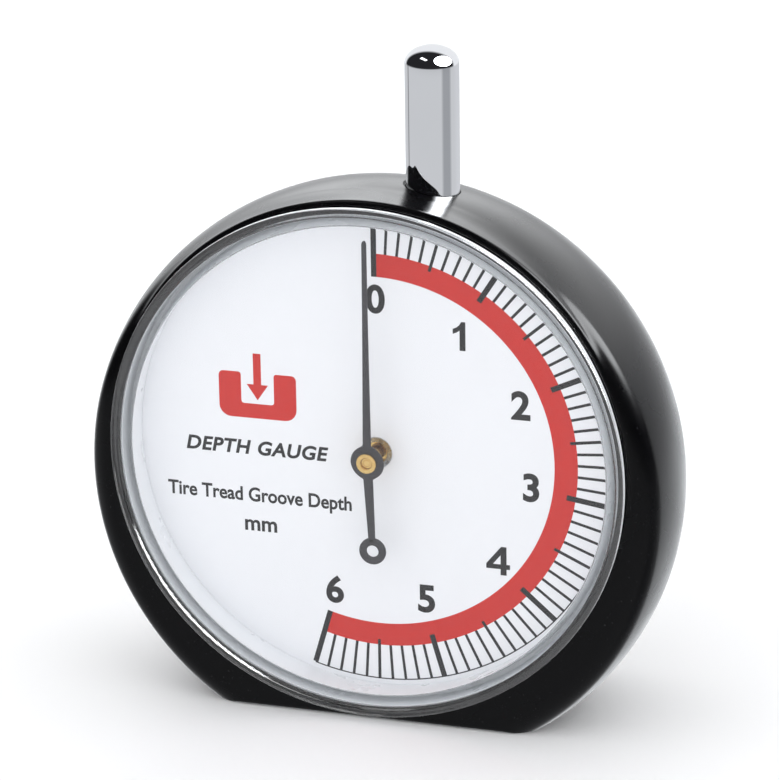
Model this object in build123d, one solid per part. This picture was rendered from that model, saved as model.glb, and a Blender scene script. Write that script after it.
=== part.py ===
from build123d import *
import math
import os

# Dial tread depth gauge, in millimetres.
# The flat base stands on z = 0, and the gauge presses it against the tread blocks to measure.
# The dial faces -Y: its printed face is the plane y = 0, and the dial axis is parallel to Y
# at x = 0. A thumb cap at the top pushes a sprung plunger and its measuring pin down through
# the base, and a rack on the plunger turns the pointer's pinion directly.

# ---- case -------------------------------------------------------------------------------
dial_height = 26.5           # dial axis above the base
case_drop = 3.0              # the barrel's own axis lies this far below the dial axis
case_axis = dial_height - case_drop
barrel_radius = 29.25        # at the widest place
side_arc = 19.0              # radius of the convex side, seen from above
widest_y = 2.9               # depth of the widest place
face_y = -3.75               # front face of the case
seam_y = 11.0                # joint between the case and its back cover
back_y = 15.0                # back face of the cover
front_fillet = 2.2
back_fillet = 2.5
seat_boss_radius = 26.1     # round land that carries the crystal's flange
seat_boss_back_y = 0.9
pocket_radius = 24.95        # bore for the crystal's skirt and the dial
cavity_radius = 21.5         # room for the movement, behind the dial's ledge
cover_room_radius = 15.5
cover_room_y = 13.0
spigot_outer = 21.3
spigot_inner = 19.5
spigot_length = 1.0
boss_offset = 13.4           # cover screw bosses, left and right of and above and below the axis
boss_radius = 2.8
boss_front_y = 4.0
lug_x = 18.0                 # lugs that carry the movement's rear plate
lug_half_height = 3.5
lug_half_width = 2.0

# ---- dial and crystal -------------------------------------------------------------------
dial_radius = 24.9
dial_thickness = 0.3
dial_hole = 1.44
eyelet_rim = 1.6
eyelet_bore = 1.12
foot_radius = 0.8
foot_length = 1.9
foot_offset = 16.4
gasket_thickness = 0.25
flange_radius = 25.66
flange_inner = 24.9
rim_y = -5.2                 # foremost plane of the crystal
window_y = -4.95
window_back_y = -3.8
skirt_outer = 24.85
skirt_front_inner = 23.8
skirt_back_inner = 24.4
rim_fillet = 0.35

# ---- rack and pinion --------------------------------------------------------------------
tooth_module = 0.35
tooth_count = 10
pressure_angle = math.radians(20)
tooth_pitch = math.pi * tooth_module
pitch_radius = tooth_module * tooth_count / 2
tooth_play = 0.06            # taken off each tooth's thickness at the pitch line
tooth_thickness = tooth_pitch / 2 - tooth_play
pinion_addendum = 0.35
pinion_dedendum = 0.35
rack_addendum = 0.20
rack_dedendum = 0.50
rack_first_tooth = -3
rack_last_tooth = 8

# ---- plunger ----------------------------------------------------------------------------
plunger_x = 4.7
plunger_y = 3.6
travel = 6.0
cap_radius = 2.58
cap_shoulder_z = dial_height + 37.9
cap_dome = 1.68
cap_bottom_z = dial_height + 19.0
cap_bore_top_z = dial_height + 33.0
cap_play = 0.08
hole_chamfer = 0.25
spindle_radius = 2.0
spindle_bottom_z = 13.5
rack_flat_x = 3.1            # flat on the spindle that the rack lies against
rack_half_width = 0.95
guide_pin_radius = 0.6
guide_pin_z = dial_height + 3.0
guide_pin_back_y = 7.4
guide_pin_front_y = 3.0
guide_play = 0.06
collar_radius = 2.9
collar_top_z = dial_height - 6.25
collar_bottom_z = dial_height - 8.25
pin_radius = 1.2
pin_tip_z = 0.05
pin_top_z = 16.3
pin_play = 0.04
bush_radius = 2.4
bush_flange_radius = 3.1
bush_bottom_z = 0.3
bush_shoulder_z = 5.2
bush_top_z = 6.0
spring_wire = 0.22
spring_radius = 2.5
spring_turns = 8

# ---- movement ---------------------------------------------------------------------------
front_plate_y = (0.9, 1.5)
rear_plate_y = (6.2, 7.2)
front_plate_x = (-6.0, 2.4)
front_plate_half_height = 6.5
rear_plate_half_width = 19.0
rear_plate_half_height = 6.0
pillar_x = -4.2
pillar_dz = 4.6
pillar_radius = 1.1
small_shank = 0.5
small_head = 0.95
small_head_height = 0.45
lug_shank = 0.8
lug_head = 1.6
front_bush_radius = 1.5
rear_bush_radius = 1.5
arbor_nose = 0.52            # where the pointer's hub is pushed on
arbor_collar = 0.74
arbor_body = 0.9
arbor_pivot = 0.6
arbor_play = 0.04
pinion_y = (2.4, 4.8)
hairspring_y = (7.95, 8.5)
hairspring_strip = 0.14
hairspring_inner = 1.5
hairspring_pitch = 0.9
hairspring_half_turns = 11
collet_radius = 1.5
collet_y = (7.6, 8.9)
stud_radius = 0.6

# ---- pointer ----------------------------------------------------------------------------
pointer_y = (-3.15, -2.9)
pointer_reach = 22.2
blade_widths = ((0.0, 0.88), (6.0, 0.70), (14.0, 0.48), (22.0, 0.36))
tail_reach = 9.05
tail_widths = ((0.0, 1.0), (8.0, 0.6))
tail_ring = 1.35
tail_hole = 0.6
hub_disc = 1.62
hub_tube = 1.0
hub_bore = 0.54
hub_front_y = -3.5
hub_flange = 1.5
hub_flange_back_y = -2.55
hub_back_y = -1.5
hub_barrel = 0.85


def along_y(radius, y_front, y_back, x=0.0, z=dial_height):
    """Round bar parallel to Y."""
    middle = (y_front + y_back) / 2
    return Pos(x, middle, z) * Rot(90, 0, 0) * Cylinder(radius, y_back - y_front)


def along_z(radius, z_low, z_high, x=plunger_x, y=plunger_y):
    """Round bar parallel to Z, on the plunger's axis unless told otherwise."""
    return Pos(x, y, (z_low + z_high) / 2) * Cylinder(radius, z_high - z_low)


def along_x(radius, x_low, x_high, y=plunger_y, z=dial_height):
    """Round bar parallel to X."""
    return Pos((x_low + x_high) / 2, y, z) * Rot(0, 90, 0) * Cylinder(radius, x_high - x_low)


def block(x_range, y_range, z_range):
    """Box between three pairs of limits."""
    sizes = [high - low for low, high in (x_range, y_range, z_range)]
    centre = [(low + high) / 2 for low, high in (x_range, y_range, z_range)]
    return Pos(*centre) * Box(*sizes)


def plate(outline, y_front, y_back, z=dial_height):
    """Flat part from an outline drawn in X and height above the dial axis."""
    plane = Plane.XZ.offset(-y_back)
    return Pos(0, 0, z) * extrude(plane * outline, amount=y_back - y_front)


def turned(points, z=dial_height):
    """Part turned about an axis parallel to Y, from (radius, y) corners."""
    face = make_face(Polyline(*points, close=True))
    return Pos(0, 0, z) * revolve(face, Axis.Y)


def side_radius(y):
    """Barrel radius at a depth, before its edges are rounded."""
    return barrel_radius - side_arc + math.sqrt(side_arc**2 - (y - widest_y) ** 2)


def barrel():
    """Whole outer form: a convex round barrel cut flat at the base."""
    front_edge = (side_radius(face_y), face_y)
    back_edge = (side_radius(back_y), back_y)
    side = ThreePointArc(front_edge, (barrel_radius, widest_y), back_edge)
    ends = Polyline(back_edge, (0, back_y), (0, face_y), front_edge)
    form = revolve(make_face(side + ends), Axis.Y)
    rims = form.edges().filter_by(GeomType.CIRCLE).sort_by(Axis.Y)
    form = fillet(rims[-1], back_fillet)
    rims = form.edges().filter_by(GeomType.CIRCLE).sort_by(Axis.Y)
    form = fillet(rims[0], front_fillet)
    form = Pos(0, 0, case_axis) * form
    return form - block((-40, 40), (-20, 30), (-20, 0))


def corner_places():
    """Cover screw places as (x, z)."""
    return [(sx * boss_offset, dial_height + sz * boss_offset) for sx in (-1, 1) for sz in (-1, 1)]


def case_body(form):
    """Front shell: barrel with the crystal's seat, the dial's pocket, bosses, lugs and bores."""
    shell = form + along_y(seat_boss_radius, face_y, seat_boss_back_y)
    shell -= block((-40, 40), (seam_y, 30), (-5, 80))
    shell -= along_y(pocket_radius, face_y - 1, dial_thickness)
    shell -= along_y(cavity_radius, dial_thickness - 0.1, seam_y + 1)
    solid_form = form - along_y(pocket_radius, face_y - 1, dial_thickness)
    for x, z in corner_places():
        shell += along_y(boss_radius, boss_front_y, seam_y, x, z)
        shell -= along_y(lug_shank, boss_front_y + 2, seam_y + 1, x, z)
    for side in (-1, 1):
        x_range = sorted((side * (lug_x - lug_half_width), side * (cavity_radius + 1)))
        z_range = (dial_height - lug_half_height, dial_height + lug_half_height)
        lug = block(x_range, (dial_thickness, rear_plate_y[0]), z_range)
        shell += lug & solid_form
        shell -= along_y(lug_shank, rear_plate_y[0] - 4, rear_plate_y[0] + 1, side * lug_x)
        foot_z = dial_height - foot_offset
        hole_radius = foot_radius + 0.05
        shell -= along_y(hole_radius, 0, dial_thickness + foot_length + 0.1, side * foot_offset, foot_z)
    shell -= along_z(cap_radius + cap_play, dial_height + 10, dial_height + 40)
    shell -= along_z(bush_radius, -1, dial_height - 15)
    shell -= along_z(bush_flange_radius + 0.02, bush_shoulder_z, dial_height - 15)
    mouth = shell.edges().filter_by(is_plunger_mouth)
    return chamfer(mouth, hole_chamfer)


def is_plunger_mouth(edge):
    """Whether an edge is the outer rim of the plunger's hole."""
    middle = edge.bounding_box().center()
    return middle.Z > dial_height + 24 and abs(middle.X - plunger_x) < 0.5 and edge.length < 25


def back_cover(form):
    """Domed cover that closes the case from behind, with recessed screw seats."""
    cover = form & block((-40, 40), (seam_y, 30), (-5, 80))
    cover -= along_y(cover_room_radius, seam_y - 1, cover_room_y)
    spigot = along_y(spigot_outer, seam_y - spigot_length, seam_y)
    spigot -= along_y(spigot_inner, seam_y - 2, seam_y + 1)
    for x, z in corner_places():
        spigot -= along_y(boss_radius + 0.2, seam_y - 2, seam_y + 1, x, z)
    cover += spigot
    for x, z in corner_places():
        cover -= along_y(lug_shank, seam_y - 1, back_y + 1, x, z)
        cover -= along_y(lug_head + 0.2, back_y - 1.2, back_y + 1, x, z)
    return cover


def crystal():
    """Clear moulded cover: flat window, raised flange that sits on the case, and a skirt."""
    flange_back = face_y - gasket_thickness
    corners = [
        (0, window_y),
        (flange_inner, window_y),
        (flange_inner, rim_y),
        (flange_radius, rim_y),
        (flange_radius, flange_back),
        (skirt_outer, flange_back),
        (skirt_outer, 0),
        (skirt_back_inner, 0),
        (skirt_front_inner, window_back_y),
        (0, window_back_y),
    ]
    part = turned(corners)
    outer = part.edges().filter_by(GeomType.CIRCLE)
    outer = outer.filter_by(lambda e: e.radius > flange_inner + 0.1 and e.center().Y < rim_y + 0.1)
    return fillet(outer, rim_fillet)


def crystal_gasket():
    """Thin flat ring between the crystal's flange and the case."""
    return along_y(flange_radius, face_y - gasket_thickness, face_y) - along_y(flange_inner, face_y - 1, 0)


def dial_plate():
    """Printed dial with its centre hole."""
    return along_y(dial_radius, 0, dial_thickness) - along_y(dial_hole, -1, 1)


def dial_eyelet():
    """Thin eyelet that lines the dial's centre hole."""
    ring = along_y(eyelet_rim, -0.1, 0) + along_y(dial_hole, 0, dial_thickness + 0.2)
    return ring - along_y(eyelet_bore, -1, 1)


def dial_feet():
    """Two feet behind the dial that locate it in the case's ledge."""
    z = dial_height - foot_offset
    back = dial_thickness + foot_length
    return [along_y(foot_radius, dial_thickness, back, side * foot_offset, z) for side in (-1, 1)]


def slotted_screw(head, head_height, shank, y_front, y_back, x, z, head_at_front):
    """Cheese-head screw parallel to Y, between the two ends of its shank and head."""
    if head_at_front:
        head_range = (y_front, y_front + head_height)
        shank_range = (y_front + head_height, y_back)
        slot_range = (y_front - 1, y_front + head_height / 2)
    else:
        head_range = (y_back - head_height, y_back)
        shank_range = (y_front, y_back - head_height)
        slot_range = (y_back - head_height / 2, y_back + 1)
    screw = along_y(head, *head_range, x, z) + along_y(shank, *shank_range, x, z)
    slot_half = head * 0.14
    return screw - block((x - head * 1.2, x + head * 1.2), slot_range, (z - slot_half, z + slot_half))


def back_cover_screws():
    """Four screws through the cover into the case's bosses."""
    shape = (lug_head, 1.0, lug_shank, seam_y - 4, back_y - 0.2)
    return [slotted_screw(*shape, x, z, False) for x, z in corner_places()]


def pillar_places():
    """Pillar places as (x, z)."""
    return [(pillar_x, dial_height + side * pillar_dz) for side in (-1, 1)]


def front_plate():
    """Small plate that carries the arbor's front bush."""
    width = front_plate_x[1] - front_plate_x[0]
    outline = Pos(sum(front_plate_x) / 2, 0) * RectangleRounded(width, 2 * front_plate_half_height, 1.2)
    body = plate(outline, *front_plate_y) - along_y(front_bush_radius, 0, 3)
    for x, z in pillar_places():
        body -= along_y(small_shank, 0, 3, x, z)
    return body


def rear_plate():
    """Plate across the case that carries the rear bush and the slot of the guide pin."""
    outline = RectangleRounded(2 * rear_plate_half_width, 2 * rear_plate_half_height, 3)
    body = plate(outline, *rear_plate_y) - along_y(rear_bush_radius, 5, 9)
    for x, z in pillar_places():
        body -= along_y(small_shank, 5, 9, x, z)
    for side in (-1, 1):
        body -= along_y(lug_shank, 5, 9, side * lug_x)
    body -= along_y(stud_radius, 5, 9, -stud_distance())
    half = guide_pin_radius + guide_play
    low = guide_pin_z - travel
    body -= block((plunger_x - half, plunger_x + half), (5, 9), (low, guide_pin_z))
    for z in (low, guide_pin_z):
        body -= along_y(half, 5, 9, plunger_x, z)
    return body


def plate_pillars():
    """Two pillars between the plates, drilled at both ends for their screws."""
    pillars = []
    for x, z in pillar_places():
        pillar = along_y(pillar_radius, front_plate_y[1], rear_plate_y[0], x, z)
        pillar -= along_y(small_shank, 0, front_plate_y[1] + 1.2, x, z)
        pillar -= along_y(small_shank, rear_plate_y[0] - 1.2, 9, x, z)
        pillars.append(pillar)
    return pillars


def pillar_screws(front):
    """Screws that hold a plate to the pillars."""
    if front:
        shape = (front_plate_y[0] - small_head_height, front_plate_y[1] + 1.2)
    else:
        shape = (rear_plate_y[0] - 1.2, rear_plate_y[1] + small_head_height)
    size = (small_head, small_head_height, small_shank)
    return [slotted_screw(*size, *shape, x, z, front) for x, z in pillar_places()]


def movement_screws():
    """Two screws that hold the rear plate on the case's lugs."""
    shape = (lug_head, 1.0, lug_shank, rear_plate_y[0] - 3, rear_plate_y[1] + 1.0)
    return [slotted_screw(*shape, side * lug_x, dial_height, False) for side in (-1, 1)]


def front_bush():
    """Flanged bearing bush in the front plate."""
    body = along_y(front_bush_radius, front_plate_y[0] - 0.2, front_plate_y[1])
    body += along_y(front_bush_radius + 0.4, front_plate_y[1], front_plate_y[1] + 0.35)
    return body - along_y(arbor_collar + arbor_play, 0, 3)


def rear_bush():
    """Bearing bush in the rear plate."""
    body = along_y(rear_bush_radius, rear_plate_y[0], rear_plate_y[1] + 0.1)
    return body - along_y(arbor_pivot + arbor_play, 5, 9)


def arbor():
    """Stepped arbor: nose for the hub, front journal, pinion seat and rear pivot."""
    steps = [
        (arbor_nose, -3.2, hub_back_y),
        (arbor_collar, hub_back_y, front_plate_y[1] + 0.5),
        (arbor_body, front_plate_y[1] + 0.5, rear_plate_y[0] - 0.15),
        (arbor_pivot, rear_plate_y[0] - 0.15, collet_y[1] + 0.2),
    ]
    shafts = [along_y(radius, front, back) for radius, front, back in steps]
    return shafts[0] + shafts[1] + shafts[2] + shafts[3]


def involute(radius):
    """Involute function of the pressure angle at a radius."""
    base = pitch_radius * math.cos(pressure_angle)
    angle = math.acos(min(1.0, base / radius))
    return math.tan(angle) - angle


def tooth_half_angle(radius):
    """Half the angle a pinion tooth spans at a radius."""
    return tooth_thickness / (2 * pitch_radius) + involute(pitch_radius) - involute(radius)


def pinion():
    """Ten-tooth involute pinion, with a tooth gap facing the rack at rest."""
    base = pitch_radius * math.cos(pressure_angle)
    root = pitch_radius - pinion_dedendum
    tip = pitch_radius + pinion_addendum
    radii = [base + (tip - base) * step / 4 for step in range(5)]
    points = []
    for tooth in range(tooth_count):
        middle = (tooth + 0.5) * 2 * math.pi / tooth_count
        flank = [(root, tooth_half_angle(base))] + [(r, tooth_half_angle(r)) for r in radii]
        for radius, half in flank:
            points.append((radius * math.cos(middle - half), radius * math.sin(middle - half)))
        for radius, half in reversed(flank):
            points.append((radius * math.cos(middle + half), radius * math.sin(middle + half)))
    gear = plate(make_face(Polyline(*points, close=True)), *pinion_y)
    return gear - along_y(arbor_body, 0, 9)


def rack():
    """Toothed strip on the plunger, meshing with the pinion."""
    tip = pitch_radius - rack_addendum
    root = pitch_radius + rack_dedendum
    half_tip = tooth_thickness / 2 - rack_addendum * math.tan(pressure_angle)
    half_root = tooth_thickness / 2 + rack_dedendum * math.tan(pressure_angle)
    low = (rack_first_tooth - 0.5) * tooth_pitch
    high = (rack_last_tooth + 0.5) * tooth_pitch
    points = [(rack_flat_x, low), (root, low)]
    for tooth in range(rack_first_tooth, rack_last_tooth + 1):
        z = tooth * tooth_pitch
        points += [(root, z - half_root), (tip, z - half_tip), (tip, z + half_tip), (root, z + half_root)]
    points += [(root, high), (rack_flat_x, high)]
    outline = make_face(Polyline(*points, close=True))
    strip = plate(outline, plunger_y - rack_half_width, plunger_y + rack_half_width)
    for z in rack_screw_heights():
        strip -= along_x(small_shank, root + 0.3, rack_flat_x + 1, plunger_y, z)
    return strip


def rack_screw_heights():
    """Heights of the two rack screws."""
    return (dial_height - 1.0, dial_height + 7.0)


def rack_screws():
    """Screws from the plunger's right side into the rack."""
    screws = []
    flat = plunger_x + spindle_radius
    for z in rack_screw_heights():
        shank = along_x(small_shank, pitch_radius + rack_dedendum + 0.3, flat, plunger_y, z)
        head = along_x(0.85, flat, flat + 0.4, plunger_y, z)
        slot = block((flat + 0.2, flat + 1), (plunger_y - 1, plunger_y + 1), (z - 0.12, z + 0.12))
        screws.append(shank + head - slot)
    return screws


def spindle():
    """Plunger rod with a flat for the rack and cross holes for its screws and guide pin."""
    rod = along_z(spindle_radius, spindle_bottom_z, cap_bore_top_z)
    low = dial_height + (rack_first_tooth - 0.5) * tooth_pitch
    high = dial_height + (rack_last_tooth + 0.5) * tooth_pitch
    rod -= block((0, rack_flat_x), (0, 8), (low, high))
    for z in rack_screw_heights():
        rod -= along_x(small_shank, 2, plunger_x + 3, plunger_y, z)
        rod -= along_x(0.85, plunger_x + spindle_radius, plunger_x + 4, plunger_y, z)
    rod -= along_y(guide_pin_radius, guide_pin_front_y, 9, plunger_x, guide_pin_z)
    rod -= along_z(pin_radius, 0, pin_top_z)
    return rod


def thumb_cap():
    """Long plated cap with a domed end, pushed over the plunger rod."""
    dome = Sphere(cap_radius) & block((-9, 9), (-9, 9), (0, 9))
    dome = scale(dome, by=(1, 1, cap_dome / cap_radius))
    cap = along_z(cap_radius, cap_bottom_z, cap_shoulder_z)
    cap += Pos(plunger_x, plunger_y, cap_shoulder_z) * dome
    return cap - along_z(spindle_radius, cap_bottom_z - 1, cap_bore_top_z)


def guide_pin():
    """Cross pin in the plunger that runs in the rear plate's slot and stops the travel."""
    return along_y(guide_pin_radius, guide_pin_front_y, guide_pin_back_y, plunger_x, guide_pin_z)


def spring_collar():
    """Collar on the plunger rod that the return spring pushes up."""
    return along_z(collar_radius, collar_bottom_z, collar_top_z) - along_z(spindle_radius, 0, 40)


def measuring_pin():
    """Thin steel pin with a chamfered tip that reaches into the tread groove."""
    pin = along_z(pin_radius, pin_tip_z, pin_top_z)
    return chamfer(pin.edges().sort_by(Axis.Z)[0], 0.3)


def lower_bush():
    """Flanged brass bush in the base that guides the measuring pin."""
    body = along_z(bush_radius, bush_bottom_z, bush_shoulder_z)
    body += along_z(bush_flange_radius, bush_shoulder_z, bush_top_z)
    return body - along_z(pin_radius + pin_play, 0, 10)


def return_spring():
    """Coil spring between the lower bush and the plunger's collar."""
    low = bush_top_z + spring_wire + 0.02
    high = collar_bottom_z - spring_wire - 0.02
    path = Helix((high - low) / spring_turns, high - low, spring_radius)
    section = Plane(path @ 0, z_dir=path % 0) * Circle(spring_wire)
    return Pos(plunger_x, plunger_y, low) * sweep(section, path, is_frenet=True)


def hairspring_radius(half_turn):
    """Radius of one half turn of the hairspring."""
    return hairspring_inner + hairspring_strip / 2 + hairspring_pitch / 4 + half_turn * hairspring_pitch / 2


def stud_distance():
    """Distance of the hairspring's stud from the arbor, to the left."""
    last = hairspring_half_turns - 1
    shift = hairspring_pitch / 4 if last % 2 == 0 else -hairspring_pitch / 4
    return hairspring_radius(last) - shift + hairspring_strip / 2


def hairspring():
    """Flat spiral from the collet to the stud, as half turns about two alternating centres."""
    strip = None
    for turn in range(hairspring_half_turns):
        upper = turn % 2 == 0
        shift = hairspring_pitch / 4 if upper else -hairspring_pitch / 4
        radius = hairspring_radius(turn)
        ring = Circle(radius + hairspring_strip / 2) - Circle(radius - hairspring_strip / 2)
        half = Pos(0, 25 if upper else -25) * Rectangle(100, 50)
        piece = plate(Pos(shift, 0) * ring & half, *hairspring_y)
        strip = piece if strip is None else strip + piece
    return strip


def hairspring_collet():
    """Collet on the arbor that grips the hairspring's inner end."""
    return along_y(collet_radius, *collet_y) - along_y(arbor_pivot, 7, 10)


def hairspring_stud():
    """Post in the rear plate that holds the hairspring's outer end."""
    x = -stud_distance() - stud_radius
    foot = along_y(stud_radius, rear_plate_y[0] + 0.2, rear_plate_y[1], -stud_distance())
    return foot + along_y(stud_radius, rear_plate_y[1], hairspring_y[1] + 0.3, x) - spring_clearance()


def spring_clearance():
    """Room for the hairspring's outermost turn beside its stud."""
    x = -stud_distance()
    return block((x, x + 3), (rear_plate_y[1], 12), (dial_height - 2, dial_height + 2))


def tapered_bar(widths, direction):
    """Outline of a bar along the pointer from (distance, width) pairs."""
    right = [(width / 2, direction * distance) for distance, width in widths]
    left = [(-x, z) for x, z in reversed(right)]
    return make_face(Polyline(*right, *left, close=True))


def pointer():
    """Pointer with a long blade, a round boss and a counterpoise tail ending in a ring."""
    tip = blade_widths[-1][1] / 2
    outline = tapered_bar(blade_widths, 1) + tapered_bar(tail_widths, -1)
    outline += Pos(0, pointer_reach - tip) * Circle(tip)
    outline += Circle(hub_disc) + Pos(0, -tail_reach) * Circle(tail_ring)
    outline -= Circle(hub_tube)
    outline -= Pos(0, -tail_reach) * Circle(tail_hole)
    return plate(outline, *pointer_y)


def pointer_hub():
    """Brass tube riveted through the pointer and pushed on the arbor."""
    tube = along_y(hub_tube, hub_front_y, pointer_y[1])
    tube += along_y(hub_flange, pointer_y[1], hub_flange_back_y)
    tube += along_y(hub_barrel, hub_flange_back_y, hub_back_y)
    tube -= along_y(hub_bore, hub_front_y - 1, -3.2)
    return tube - along_y(arbor_nose, -3.3, hub_back_y + 1)


def write(name, part):
    """Write one node: one solid, or a group of separate solids."""
    solids = part if isinstance(part, list) else [part]
    solids = [solid for item in solids for solid in item.solids()]
    shape = solids[0] if len(solids) == 1 else Compound(children=solids)
    export_step(shape, os.path.join("parts", name + ".step"))


def main():
    os.makedirs("parts", exist_ok=True)
    form = barrel()
    nodes = {
        "case_body": case_body(form),
        "back_cover": back_cover(form),
        "back_cover_screws": back_cover_screws(),
        "crystal": crystal(),
        "crystal_gasket": crystal_gasket(),
        "dial_plate": dial_plate(),
        "dial_eyelet": dial_eyelet(),
        "dial_feet": dial_feet(),
        "front_plate": front_plate(),
        "rear_plate": rear_plate(),
        "plate_pillars": plate_pillars(),
        "front_pillar_screws": pillar_screws(True),
        "rear_pillar_screws": pillar_screws(False),
        "movement_screws": movement_screws(),
        "front_bush": front_bush(),
        "rear_bush": rear_bush(),
        "arbor": arbor(),
        "pinion": pinion(),
        "hairspring_collet": hairspring_collet(),
        "hairspring": hairspring(),
        "hairspring_stud": hairspring_stud(),
        "pointer": pointer(),
        "pointer_hub": pointer_hub(),
        "thumb_cap": thumb_cap(),
        "spindle": spindle(),
        "rack": rack(),
        "rack_screws": rack_screws(),
        "guide_pin": guide_pin(),
        "spring_collar": spring_collar(),
        "return_spring": return_spring(),
        "lower_bush": lower_bush(),
        "measuring_pin": measuring_pin(),
    }
    for name, part in nodes.items():
        write(name, part)


main()
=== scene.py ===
import math

import bpy
import bmesh
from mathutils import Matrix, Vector


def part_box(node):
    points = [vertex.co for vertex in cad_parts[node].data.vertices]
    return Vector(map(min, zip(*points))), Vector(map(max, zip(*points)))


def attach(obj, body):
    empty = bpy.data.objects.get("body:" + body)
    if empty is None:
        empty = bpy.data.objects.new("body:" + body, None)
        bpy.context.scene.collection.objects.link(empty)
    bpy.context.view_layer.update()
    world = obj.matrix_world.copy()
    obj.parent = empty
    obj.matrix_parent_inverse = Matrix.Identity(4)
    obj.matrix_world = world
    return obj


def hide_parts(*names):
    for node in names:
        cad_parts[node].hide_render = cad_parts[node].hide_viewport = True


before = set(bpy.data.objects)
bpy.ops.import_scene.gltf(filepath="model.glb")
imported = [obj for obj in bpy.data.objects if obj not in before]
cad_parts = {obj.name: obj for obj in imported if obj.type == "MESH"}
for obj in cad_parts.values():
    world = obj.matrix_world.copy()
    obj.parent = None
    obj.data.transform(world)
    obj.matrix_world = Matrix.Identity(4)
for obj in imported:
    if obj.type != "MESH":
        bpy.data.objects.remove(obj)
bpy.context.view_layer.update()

# All lengths in this file are in millimetres and become metres when a mesh is made.
MM = 0.001


def box_mm(node):
    low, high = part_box(node)
    return low / MM, high / MM


dial_low, dial_high = box_mm("dial_plate")
DIAL_Z = (dial_low.z + dial_high.z) / 2
DIAL_Y = dial_low.y
CASE_Z = DIAL_Z - 3.0
RED_OUT = 20.25
VIEW_UNIT = 20.0

# ---------------------------------------------------------------------------------------
# Node helpers
# ---------------------------------------------------------------------------------------


class Nodes:
    """Short calls for building a node tree."""

    def __init__(self, tree):
        self.tree = tree
        tree.nodes.clear()

    def add(self, kind, **props):
        node = self.tree.nodes.new(kind)
        for key, value in props.items():
            setattr(node, key, value)
        return node

    def put(self, socket, value):
        if isinstance(value, bpy.types.NodeSocket):
            self.tree.links.new(value, socket)
        elif value is not None:
            socket.default_value = value

    def math(self, op, a, b=None):
        node = self.add("ShaderNodeMath", operation=op)
        self.put(node.inputs[0], a)
        self.put(node.inputs[1], b)
        return node.outputs[0]

    def dot(self, a, b):
        node = self.add("ShaderNodeVectorMath", operation="DOT_PRODUCT")
        self.put(node.inputs[0], a)
        self.put(node.inputs[1], b)
        return node.outputs["Value"]

    def smooth(self, value, low, high, to_low=0.0, to_high=1.0):
        node = self.add("ShaderNodeMapRange", interpolation_type="SMOOTHSTEP")
        for i, v in enumerate((value, low, high, to_low, to_high)):
            self.put(node.inputs[i], v)
        return node.outputs[0]

    def mix(self, factor, a, b):
        node = self.add("ShaderNodeMix", data_type="RGBA")
        self.put(node.inputs[0], factor)
        self.put(node.inputs[6], a)
        self.put(node.inputs[7], b)
        return node.outputs[2]

    def noise(self, where, scale, detail=3.0, rough=0.5):
        node = self.add("ShaderNodeTexNoise")
        self.put(node.inputs["Vector"], where)
        node.inputs["Scale"].default_value = scale
        node.inputs["Detail"].default_value = detail
        node.inputs["Roughness"].default_value = rough
        return node.outputs["Fac"]

    def mapped(self, where, scale):
        node = self.add("ShaderNodeMapping")
        self.put(node.inputs["Vector"], where)
        node.inputs["Scale"].default_value = scale
        return node.outputs[0]

    def bump(self, height, strength, distance_mm, normal=None):
        node = self.add("ShaderNodeBump")
        node.inputs["Strength"].default_value = strength
        node.inputs["Distance"].default_value = distance_mm * MM
        self.put(node.inputs["Height"], height)
        self.put(node.inputs["Normal"], normal)
        return node.outputs[0]


def rgba(r, g, b):
    return (r, g, b, 1.0)


def material(name):
    """A new material with a Principled shader: material, nodes, shader, object coordinates, output."""
    mat = bpy.data.materials.new(name)
    mat.use_nodes = True
    n = Nodes(mat.node_tree)
    out = n.add("ShaderNodeOutputMaterial")
    shader = n.add("ShaderNodeBsdfPrincipled")
    n.put(out.inputs["Surface"], shader.outputs[0])
    where = n.add("ShaderNodeTexCoord").outputs["Object"]
    return mat, n, shader, where, out


def enamel():
    """Sprayed black enamel with a faint orange peel and a few dust specks."""
    mat, n, s, where, _ = material("black_enamel")
    cloud = n.noise(where, 160, 4)
    fine = n.noise(where, 2600, 3)
    peel = n.noise(where, 700, 2)
    dust = n.smooth(n.noise(where, 5200, 1), 0.74, 0.80)
    coat = n.mix(cloud, rgba(0.0014, 0.0014, 0.0018), rgba(0.0026, 0.0026, 0.0031))
    n.put(s.inputs["Base Color"], n.mix(dust, coat, rgba(0.03, 0.03, 0.032)))
    n.put(s.inputs["Roughness"], n.smooth(cloud, 0.25, 0.75, 0.20, 0.30))
    s.inputs["IOR"].default_value = 1.5
    s.inputs["Specular IOR Level"].default_value = 0.16
    first = n.bump(peel, 0.12, 0.02)
    n.put(s.inputs["Normal"], n.bump(fine, 0.06, 0.006, first))
    return mat


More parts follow.
